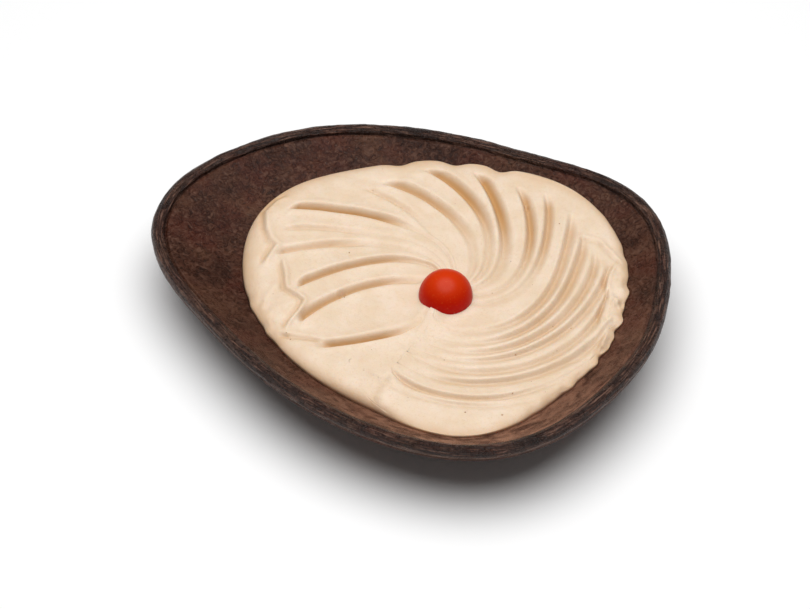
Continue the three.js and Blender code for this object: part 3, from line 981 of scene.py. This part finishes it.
@dataclass
class SpoonedSauce:
    """The tahini sauce, spooned into a swirl round the tomato. Sizes in mm, bearings in degrees."""

    dish: StonewareDish
    tomato: CherryTomato
    # the level, and its rise towards the back
    level: float = 26.7
    back_rise: float = 1.7
    back_from: float = 15.0
    back_over: float = 65.0
    # the swirl's middle and the smooth hub round it
    middle_x: float = 15.0
    middle_y: float = 0.0
    hub: float = 9.0
    hub_fade: float = 8.0
    # the rounded edge, broader at the narrow end
    edge_lift: float = 1.3
    edge_round: float = 5.5
    narrow_edge_round: float = 5.0
    # degrees a mm that the valleys turn beyond their mouths, and the ridges beside them, whose
    # heights are shares of their depth
    outer_turn: float = 0.6
    brow_height: float = 0.1
    brow_width: float = 1.6
    lip_height: float = 0.22
    crest_width: float = 2.4
    # the spoonful that laps up the tomato, and the low collar round it
    lap_bearing: float = -92.0
    lap_reach: float = 12.6
    lap_height: float = 2.6
    lap_width: float = 5.6
    collar_height: float = 0.5
    collar_width: float = 2.5
    # painted shade: how much the valleys, the crease grooves and the edge are painted a darker gold
    golden_depth: float = 3.1
    golden_ease: float = 1.4
    groove_tone: float = 0.4
    edge_shade_tone: float = 0.5
    edge_shade_reach: float = 0.55
    # rows of the surface, closer over the last share of the way to the edge, and the underside's
    rows: int = 138
    edge_rows: int = 30
    edge_share: float = 0.08
    edge_closing: float = 1.6
    under_shares: tuple[float, ...] = (1, 0.97, 0.92, 0.84, 0.72, 0.55, 0.35, 0.15)
    under_sink: float = 0.1
    # columns between two valleys: up the steep wall, along the top (one a mm) and down the broad
    # wall, and the most that the two walls take of the way
    steeps: int = 5
    least_flats: int = 5
    least_broads: int = 7
    broads_per_mm: float = 1.9
    most_lip: float = 0.35
    most_wall: float = 0.5
    outline: Outline = Outline(
        84.8,
        (
            Wave(1, 8.2, 149),
            Wave(2, 3.7, -14),
            Wave(3, 5.4, 60.3),
            Wave(4, 0.3, -41),
            Wave(5, 1.0, 15),
            Wave(6, 1.1, 0.5),
            Wave(8, 0.4, -13),
        ),
    )
    # folds in the edge: bearing, depth and width in degrees
    notches: tuple[tuple[float, float, float], ...] = (
        (-86, 0.8, 7.0),
        (100, 1.8, 3.5),
        (115, 1.8, 3.5),
        (132, 1.8, 3.5),
    )
    # rough stretches of the edge: bearing, reach in degrees and how rough
    rough_stretches: tuple[tuple[float, float, float], ...] = ((8, 34, 1.0), (-141, 12, 0.6))
    rough_waves: tuple[Wave, ...] = (Wave(31, 0.7, 4), Wave(53, 0.45, 1))
    rough_inset: float = 3.0
    rough_reach: float = 6.5
    rough_lumps: tuple[Lumps, ...] = (Lumps(9, 4.2, 1.1, 60), Lumps(10, 2.2, 0.55, 80))
    soft_lumps: tuple[Lumps, ...] = (Lumps(7, 13.0, 0.16, 20), Lumps(8, 5.0, 0.08, 40))
    narrow_lumps: Lumps = Lumps(13, 8.0, 0.3, 30)
    narrow_from: float = 30.0
    narrow_ease: float = 20.0
    # streaks: seed, cells between two valleys, length and height in mm; none where it is crowded
    streaks: tuple[tuple[int, int, float, float], ...] = ((5, 3, 34, 0.16), (6, 8, 26, 0.056))
    crowded_pitch: float = 2.0
    crowded_ease: float = 7.0
    creases: tuple[Crease, ...] = (
        Crease(
            (
                (-77.8, 22.4),
                (-81.8, 16.3),
                (-82.4, 7.5),
                (-76.6, -1.6),
                (-71.6, -6.5),
                (-66.8, -8.5),
                (-66.2, -15.6),
                (-65.5, -24.8),
            ),
            1.1,
            1.0,
            1.6,
        ),
        Crease(
            (
                (-63.3, -17.0),
                (-59.5, -17.2),
                (-54.8, -22.8),
                (-49.6, -30.8),
                (-44.1, -32.3),
                (-38.0, -34.0),
                (-37.0, -41.9),
                (-37.4, -49.2),
                (-36.3, -55.5),
            ),
            1.1,
            1.0,
            1.3,
        ),
        Crease(((-40.0, -57.0), (-30.7, -53.9), (-19.0, -50.0)), 0.3, 1.2, 1.3),
        Crease(((-52.4, -50.0), (-54.6, -40.7), (-54.4, -34.1), (-52.0, -27.0)), 0.6, 0.2, 1.9),
        Crease(((50.0, 59.0), (60.6, 60.8), (69.8, 55.9), (78.5, 52.0)), 0.6, 0.5, 1.2),
        Crease(((73.8, 51.2), (75.6, 38.6), (80.3, 30.4), (88.5, 26.3)), 0.6, 0.8, 1.2),
        Crease(((79.2, 31.7), (81.1, 22.3), (84.5, 11.6)), 0.5, 0.8, 1.2),
        Crease(((88.7, 10.4), (90.3, -4.2)), 0.5, 0.9, 1.1),
        Crease(((18.8, -54.7), (19.2, -66.4), (19.9, -80.0)), 0.6, 0.5, 2.2),
    )
    dimples: tuple[Dimple, ...] = (
        Dimple(-26.4, -22.1, 1.3, 1.3),
        Dimple(86.8, 28.8, 1.6, 1.3),
        Dimple(83.3, 18.5, 1.9, 1.5),
        Dimple(90.4, -0.4, 1.9, 1.2),
        Dimple(22.0, 66.1, 1.0, 1.0),
    )
    strokes: tuple[Stroke, ...] = (
        Stroke((-123, 68), (-92.6, 23), 0.37, -94, 3.2, 3.8, 2.6, opening=0.2, fade=0.6, rest=0.25),
        Stroke((-26, 77.5), (-91, 60.3), 0.1, -91.5, 0.8, 3.0, 2.0, opening=0.6, fade=0.5),
        Stroke((-7, 74.5), (-90, 51), -0.5, -90.6, 1.6, 4.0, 2.4, opening=0.4, fade=0.75),
        Stroke((11, 74), (-89, 48.8), 0.24, -89.5, 1.35, 4.0, 2.6, fade=0.7),
        Stroke((34, 73), (-88, 41), 0.1, -88.5, 1.4, 4.0, 2.6, fade=0.7),
        Stroke((39.6, 74.5), (-87, 37.2), 0.54, -87.5, 1.5, 4.0, 2.6, fade=0.65),
        Stroke((47.8, 72.5), (-86, 32.2), 0.56, -86.5, 1.75, 4.2, 2.6, fade=0.65),
        Stroke((57.4, 72.5), (-85, 27), 0.68, -85.5, 1.9, 4.4, 2.6, fade=0.65),
        Stroke((68.9, 77), (-84, 18.5), 0.74, -84.5, 1.8, 4.5, 2.4, fade=0.6),
        Stroke((81.5, 78.5), (32.5, 33), 0.4, -12, 2.2, 3.8, 2.2, fade=0.45, rest=0.25),
        Stroke((92, 76.5), (37.5, 27.5), 0.32, 12, 2.6, 4.2, 2.4, rest=0.25),
        Stroke((107.3, 79), (50.6, 20.5), 0.4, 36, 3.0, 5.2, 2.6, opening=0.07, fade=0.3, rest=0.25),
        Stroke((124.1, 81), (80, 30), 0.1, 52, 3.0, 5.2, 2.8, opening=0.07, fade=0.3, rest=0.25),
        Stroke((139.7, 78), (89.4, 25), 0.21, 66, 2.7, 5.2, 2.6, opening=0.08, fade=0.3, rest=0.25),
        Stroke((147.5, 79), (128.7, 38), 0, 94, 1.2, 3.0, 2.0, rest=0.2),
        Stroke((170.6, 91), (135.8, 40), 0.29, 102, 3.2, 4.8, 2.0, opening=0.05, fade=0.6, rest=0.1),
        Stroke((178.9, 85), (159, 48), 0.2, 110, 1.3, 3.0, 2.0, opening=0.07, fade=0.5, rest=0.1),
        Stroke((190, 81), (160.2, 38), 0.18, 118, 2.0, 4.0, 2.4, opening=0.06, fade=0.4, rest=0.1),
        Stroke((204.5, 68), (140.7, 18.5), 0.45, 128, 2.7, 3.8, 2.8, opening=0.07, fade=0.6, rest=0.4),
        Stroke((223.8, 69), (185, 16), 0.19, 172, 2.7, 4.2, 2.4, opening=0.08, fade=0.7, rest=0.5),
    )
    behind: Array = field(init=False)
    ahead: Array = field(init=False)
    wrap: Array = field(init=False)
    share: Array = field(init=False)

    def __post_init__(self) -> None:
        """Lays out the columns of the surface, each at a share of the way from one stroke to the next.

        Each gap has columns up the steep wall to the lip, along to the brow, and down the broad wall.
        """
        behind, share = [], []
        count = len(self.strokes)
        for index, stroke in enumerate(self.strokes):
            after = self.strokes[(index + 1) % count]
            arc = math.radians((after.mouth[0] - stroke.mouth[0]) % 360) * stroke.mouth[1]
            lip = min(self.most_lip, stroke.lip / arc)
            brow = 1 - min(self.most_wall, after.wall / arc)
            flats = max(self.least_flats, round(arc * (brow - lip)))
            broads = max(self.least_broads, round(after.wall * self.broads_per_mm))
            steep = np.linspace(0, lip, self.steeps, endpoint=False)
            flat = np.linspace(lip, brow, flats, endpoint=False)
            broad = np.linspace(brow, 1, broads, endpoint=False)
            share.append(np.concatenate([steep, flat, broad]))
            behind.append(np.full(len(share[-1]), index))
        self.behind = np.concatenate(behind)[:, None]
        self.share = np.concatenate(share)[:, None]
        self.ahead = (self.behind + 1) % count
        self.wrap = np.where(self.ahead == 0, 360.0, 0.0)

    def edge_radius(self, bearing: Array) -> Array:
        """The sauce's outline about the swirl's middle: waves less a bell-shaped notch at each fold,
        with short waves where the edge is rough."""
        folds = [depth * bell(turn_from(at, bearing), width) for at, depth, width in self.notches]
        ragged = Outline(0, self.rough_waves).radius(bearing) * self.roughness_at(bearing)
        return self.outline.radius(bearing) - np.max(folds, axis=0) + ragged

    def roughness_at(self, bearing: Array) -> Array:
        """How rough the edge is at a bearing: a bell round the middle of each rough stretch."""
        parts = [much * bell(turn_from(at, bearing), reach) for at, reach, much in self.rough_stretches]
        return sum(parts)

    def named(self, name: str, which: Array) -> Array:
        """One value of each column's stroke."""
        return np.array([getattr(stroke, name) for stroke in self.strokes], dtype=float)[which]

    def run_share(self, which: Array, radius: Array) -> Array:
        """Share of each column's stroke used up at a radius: 0 at its mouth, 1 at its tail."""
        mouth, tail = self.named("mouth", which)[..., 1], self.named("tail", which)[..., 1]
        return (mouth - radius) / (mouth - tail)

    def valley_bearing(self, which: Array, radius: Array) -> Array:
        """Bearing of the valley lines: along a stroke, an even turn and one that grows as the cube of
        the run; beyond its mouth and inside its tail, even turns.

        Args:
            which: each column's stroke number.
            radius: mm from the swirl's middle.

        Returns:
            Bearings in degrees.
        """
        run = self.run_share(which, radius)
        mouth, tail = self.named("mouth", which), self.named("tail", which)
        bow, hub = self.named("bow", which), self.named("hub", which)
        held = clamp(run)
        turned = (1 - bow) * held + bow * held**3
        along = mix(mouth[..., 0], tail[..., 0], turned)
        outer = self.outer_turn * np.maximum(0, radius - mouth[..., 1])
        inner = clamp((tail[..., 1] - radius) / (tail[..., 1] - self.hub), 0, 2)
        return along + outer + (hub - tail[..., 0]) * inner

    def valley_depth(self, which: Array, radius: Array) -> Array:
        """Depth of the valleys: it grows over a stroke's opening, eases to its rest by the tail and
        to nothing at the hub."""
        run, fade = self.run_share(which, radius), self.named("fade", which)
        rest = self.named("rest", which) * smooth((radius - self.hub) / self.hub_fade)
        eased = 1 - smooth((run - fade) / (1 - fade))
        opened = smooth(run / self.named("opening", which))
        return self.named("depth", which) * opened * mix(rest, 1, eased)

    def column_bearing(self, radius: Array) -> Array:
        """Bearing of each column at a radius, by its share of the way between two valley lines."""
        first = self.valley_bearing(self.behind, radius)
        second = self.valley_bearing(self.ahead, radius) + self.wrap
        return mix(first, second, self.share)

    def column_edge(self) -> Array:
        """Radius at which each column meets the outline, found from outside by halving steps."""
        outside, steps = 100.0, 60
        radius = np.full_like(self.share, outside)
        for _ in range(steps):
            radius = mix(radius, self.edge_radius(self.column_bearing(radius)), 0.5)
        return radius

    def pitch(self, along: Array, radius: Array) -> Array:
        """Distance in mm between the valleys on both sides, square to one of them.

        Args:
            along: number of the stroke to measure square to, one a column.
            radius: columns x rows, mm from the swirl's middle.

        Returns:
            The arc between the valleys over the length that the stroke's slant gives it.
        """
        first, second = (self.valley_bearing(which, radius) for which in (self.behind, self.ahead))
        nearby = self.valley_bearing(along, radius + 0.5) - self.valley_bearing(along, radius - 0.5)
        return radius * np.radians(second + self.wrap - first) / np.hypot(1, radius * np.radians(nearby))

    def stroke_relief(self, radius: Array) -> tuple[Array, Array]:
        """Relief of the strokes: a steep wall up from the valley behind to a lip, and a broad wall
        down into the valley ahead with a low ridge along its brow, both eased at top and bottom.

        Args:
            radius: columns x rows, mm from the swirl's middle.

        Returns:
            Heights in mm, and how deep in a valley each point is, from 0 to 1.
        """
        depth_behind = self.valley_depth(self.behind, radius)
        depth_ahead = self.valley_depth(self.ahead, radius)
        pitch_behind, pitch_ahead = self.pitch(self.behind, radius), self.pitch(self.ahead, radius)
        crowded_lip, crowded_wall = 0.4 * pitch_behind, 0.55 * pitch_ahead
        lip = np.minimum(self.named("lip", self.behind), crowded_lip)
        wall = np.minimum(self.named("wall", self.ahead), crowded_wall)
        past, short = self.share * pitch_behind - lip, (1 - self.share) * pitch_ahead - wall
        climb, fall = smooth(1 + past / lip), smooth(-short / wall)
        crest = bell(np.maximum(0, past), self.crest_width) * climb
        relief = depth_behind * (climb - 1 + self.lip_height * crest)
        relief += depth_ahead * (self.brow_height * bell(short, self.brow_width) - fall)
        # how deep in a valley each point is, which sets the painted shade there
        hollow = np.maximum(depth_behind * (1 - climb), depth_ahead * smooth(-1.3 * short / wall))
        return relief, clamp(hollow / self.golden_depth) ** self.golden_ease

    def crease_relief(self, x: Array, y: Array) -> tuple[Array, Array]:
        """Relief of all the creases at places of the plan, and the depth of their grooves alone."""
        parts = [crease.relief(x, y) for crease in self.creases]
        return sum(part[0] for part in parts), sum(part[1] for part in parts)

    def dimple_relief(self, x: Array, y: Array) -> Array:
        """Bell-shaped dips where air bubbles burst, each with a low ring round it."""
        total = np.zeros_like(x)
        for dimple in self.dimples:
            away = np.hypot(x - dimple.x, y - dimple.y) / dimple.width
            total += dimple.depth * (0.25 * bell(away - 1.7, 0.6) - bell(away, 1.0))
        return total

    def tomato_relief(self, x: Array, y: Array) -> Array:
        """Sauce drawn up round the tomato, with one spoonful that laps up its front."""
        from_x, from_y = x - self.tomato.x, y - self.tomato.y
        turn = math.radians(self.lap_bearing)
        lap_x, lap_y = self.lap_reach * math.cos(turn), self.lap_reach * math.sin(turn)
        lap = self.lap_height * bell(np.hypot(from_x - lap_x, from_y - lap_y), self.lap_width)
        clear = np.maximum(0, np.hypot(from_x, from_y) - self.tomato.radius)
        return self.collar_height * bell(clear, self.collar_width) + lap

    def fine_relief(self, radius: Array, bearing: Array, x: Array, y: Array) -> Array:
        """Streaks that the spoon drew along the strokes, soft lumps all over, more of them at the
        narrow end, and rough lumps along the rough stretches of the edge, all from seeded noise.

        Args:
            radius: columns x rows, mm from the swirl's middle.
            bearing: degrees about the swirl's middle.
            x: first coordinate in the plan.
            y: second coordinate in the plan.

        Returns:
            Heights in mm.
        """
        along = self.behind + self.share + 0 * radius
        count = len(self.strokes)
        streaks = 0.0
        for seed, each_gap, length, height in self.streaks:
            streaks = streaks + height * Grain(seed, each_gap * count).at(along * each_gap, radius / length)
        roomy = smooth((self.pitch(self.behind, radius) - self.crowded_pitch) / self.crowded_ease)
        soft = sum(lumps.relief(x, y) for lumps in self.soft_lumps)
        narrow = self.narrow_lumps.relief(x, y) * smooth((-x - self.narrow_from) / self.narrow_ease)
        inset = self.edge_radius(bearing) - radius - self.rough_inset
        rough = sum(lumps.relief(x, y) for lumps in self.rough_lumps)
        rough = rough * bell(inset, self.rough_reach) * self.roughness_at(bearing)
        return streaks * roomy + soft + narrow + rough

    def surface(self) -> tuple[Array, Array, Array]:
        """The spooned surface: the level and its rise at the back, rounded down to the edge by a
        quarter of an ellipse, with every relief on it.

        Returns:
            Points, rows x columns x 3, how deep in a valley each is (its painted shade) and the painted
            shade near the edge.
        """
        open_rows = np.linspace(0, 1 - self.edge_share, self.rows - self.edge_rows, endpoint=False)
        edge_rows = 1 - self.edge_share * (1 - np.linspace(0, 1, self.edge_rows)) ** self.edge_closing
        row = np.concatenate([open_rows, edge_rows])[None, :]
        radius = mix(self.hub, self.column_edge(), row)
        bearing = self.column_bearing(radius)
        turn = np.radians(bearing)
        x, y = self.middle_x + radius * np.cos(turn), self.middle_y + radius * np.sin(turn)
        edge = self.edge_radius(bearing)
        edge_x, edge_y = self.middle_x + edge * np.cos(turn), self.middle_y + edge * np.sin(turn)
        edge_z = self.dish.well_height_at(edge_x, edge_y) + self.edge_lift
        width = self.edge_round + self.narrow_edge_round * narrowness(bearing)
        inwards = clamp((edge - radius) / width)
        rounding = np.sqrt(1 - (1 - inwards) ** 2)
        level = self.level + self.back_rise * smooth((y - self.back_from) / self.back_over)
        relief, hollow = self.stroke_relief(radius)
        folded, groove = self.crease_relief(x, y)
        relief += folded + self.tomato_relief(x, y)
        # the crease grooves add to the painted shade in the valleys
        hollow = clamp(hollow + self.groove_tone * groove)
        relief += self.dimple_relief(x, y) + self.fine_relief(radius, bearing, x, y)
        z = mix(edge_z, level, rounding) + relief * rounding
        points = np.stack([x, y, z], axis=-1).transpose(1, 0, 2)
        # painted shade: the sauce's edge turned a darker gold
        painted_shading = self.edge_shade_tone * bell(inwards, self.edge_shade_reach)
        return points, hollow.T, painted_shading.T

    def build(self) -> bpy.types.Object:
        """Builds the sauce down to the hollow of the dish and dresses it."""
        top, hollow, painted_shading = self.surface()
        edge = top[-1]
        shares = np.array(self.under_shares)[:, None]
        under_x = self.middle_x + (edge[:, 0] - self.middle_x) * shares
        under_y = self.middle_y + (edge[:, 1] - self.middle_y) * shares
        under_z = self.dish.well_height_at(under_x, under_y) - self.under_sink
        under = np.stack([under_x, under_y, under_z], axis=-1)
        rings = np.concatenate([top, under])
        first = np.array([self.middle_x, self.middle_y, self.level])
        last_z = self.dish.well_height_at(np.array([self.middle_x]), np.array([self.middle_y]))[0]
        last = np.array([self.middle_x, self.middle_y, last_z])
        sauce = closed_skin("spooned_tahini", rings, first, last)
        below = np.zeros(len(under) * len(self.share) + 2)
        point_value(sauce, "hollow", np.concatenate([hollow.ravel(), below]))
        point_value(sauce, "painted_shading", np.concatenate([painted_shading.ravel(), below]))
        settle(sauce, "tahini_sauce", TahiniPaste().build())
        return sauce


@dataclass
class SpiceFlecks:
    """Flecks of chilli and sesame in the sauce's skin, scattered over a spread of shares of its area.
    Sizes in mm."""

    sauce: SpoonedSauce
    count: int = 30
    smallest: float = 0.16
    largest: float = 0.36
    seed: int = 21
    spread: tuple[float, float] = (0.06, 0.9)
    placed: tuple[tuple[float, float, float], ...] = (
        (-51.9, 23.7, 0.4),
        (-35.8, 1.3, 0.42),
        (54.7, -61.1, 0.4),
        (69.0, -54.8, 0.45),
        (58.6, -20.1, 0.42),
        (68.2, -41.6, 0.4),
    )

    def places(self) -> Array:
        """Places of the flecks: the large ones by name, the rest scattered over the sauce by a seeded
        draw, even in area; each as x, y and radius."""
        draw = np.random.default_rng(self.seed)
        reach = np.sqrt(draw.uniform(*self.spread, self.count))
        bearing = draw.uniform(0, 360, self.count)
        radius = reach * self.sauce.edge_radius(bearing)
        x = self.sauce.middle_x + radius * np.cos(np.radians(bearing))
        y = self.sauce.middle_y + radius * np.sin(np.radians(bearing))
        size = mix(self.smallest, self.largest, draw.uniform(0, 1, self.count) ** 2)
        return np.vstack([np.array(self.placed), np.stack([x, y, size], axis=-1)])

    def build(self) -> bpy.types.Object:
        """Builds every fleck as a flattened, turned lump of eight faces, half sunk in the surface at
        the nearest point of the sauce, all in one mesh, and dresses them."""
        places = self.places()
        surface = self.sauce.surface()[0].reshape(-1, 3)
        gaps = (surface[None, :, 0] - places[:, :1]) ** 2 + (surface[None, :, 1] - places[:, 1:2]) ** 2
        rest = surface[np.argmin(gaps, axis=1)]
        tips = np.array([[1, 0, 0], [0, 1, 0], [-1, 0, 0], [0, -1, 0], [0, 0, 0.45], [0, 0, -0.6]])
        upper = [[0, 1, 4], [1, 2, 4], [2, 3, 4], [3, 0, 4]]
        lower = [[1, 0, 5], [2, 1, 5], [3, 2, 5], [0, 3, 5]]
        faces = np.array(upper + lower)
        draw = np.random.default_rng(self.seed + 1)
        spin = draw.uniform(0, np.pi, len(places))[:, None]
        long, wide = draw.uniform(0.9, 1.5, (2, len(places), 1))
        x, y = tips[None, :, 0] * long, tips[None, :, 1] * wide
        turned = np.stack(
            [x * np.cos(spin) - y * np.sin(spin), x * np.sin(spin) + y * np.cos(spin), tips[:, 2] + 0 * x],
            axis=-1,
        )
        points = rest[:, None, :] + places[:, 2][:, None, None] * turned
        steps = (np.arange(len(places)) * len(tips))[:, None, None]
        mesh = bpy.data.meshes.new("spice_flecks")
        mesh.from_pydata((points.reshape(-1, 3) * MM).tolist(), [], (faces + steps).reshape(-1, 3).tolist())
        mesh.update()
        flecks = bpy.data.objects.new("spice_flecks", mesh)
        bpy.context.scene.collection.objects.link(flecks)
        settle(flecks, None, ToastedSpice().build())
        return flecks


# ---------------------------------------------------------------- studio


@dataclass
class Studio:
    """The pale table, the soft light overhead and the camera: metres, watts and degrees, and mm for
    the lens and its sensor."""

    table_size: float = 8.0
    light_size: float = 1.56
    light_place: tuple[float, float, float] = (-0.02, 0.03, 1.25)
    light_power: float = 21.0
    ambient: float = 0.12
    camera_place: tuple[float, float, float] = (0.3321, -0.6367, 0.7296)
    camera_elevation: float = 45.0
    camera_azimuth: float = 28.0
    lens: float = 100.0
    sensor: float = 36.0
    sight: float = 20.0

    def build(self) -> None:
        """Sets the table, the light, the surrounding light and the camera."""
        scene = bpy.context.scene
        half = self.table_size / 2
        mesh = bpy.data.meshes.new("table_top")
        corners = [(-half, -half, 0), (half, -half, 0), (half, half, 0), (-half, half, 0)]
        mesh.from_pydata(corners, [], [(0, 1, 2, 3)])
        table = bpy.data.objects.new("table_top", mesh)
        scene.collection.objects.link(table)
        table.data.materials.append(PaleTable().build())
        lamp = bpy.data.lights.new("softbox", "AREA")
        lamp.shape, lamp.size, lamp.energy = "DISK", self.light_size, self.light_power
        lit = bpy.data.objects.new("softbox", lamp)
        lit.location = self.light_place
        scene.collection.objects.link(lit)
        world = bpy.data.worlds.new("studio")
        world.use_nodes = True
        sky = world.node_tree.nodes["Background"]
        sky.inputs["Color"].default_value = (1, 1, 1, 1)
        sky.inputs["Strength"].default_value = self.ambient
        scene.world = world
        scene.view_settings.view_transform = "Standard"
        self.aim_camera(scene)
        LOG.info("studio set")

    def aim_camera(self, scene: bpy.types.Scene) -> None:
        """Stands the camera at the photograph's viewing angle."""
        lens = bpy.data.cameras.new("camera")
        lens.lens, lens.sensor_width, lens.clip_end = self.lens, self.sensor, self.sight
        camera = bpy.data.objects.new("camera", lens)
        camera.location = self.camera_place
        tilt, turn = math.radians(90 - self.camera_elevation), math.radians(self.camera_azimuth)
        camera.rotation_euler = (tilt, 0, turn)
        scene.collection.objects.link(camera)
        scene.camera = camera


def main() -> None:
    """Builds the studio and the pieces in order."""
    logging.basicConfig(level=logging.INFO, format="%(name)s: %(message)s")
    Studio().build()
    dish = StonewareDish()
    dish.build()
    tomato = CherryTomato()
    tomato.build()
    sauce = SpoonedSauce(dish, tomato)
    sauce.build()
    SpiceFlecks(sauce).build()


if __name__ == "__main__":
    main()
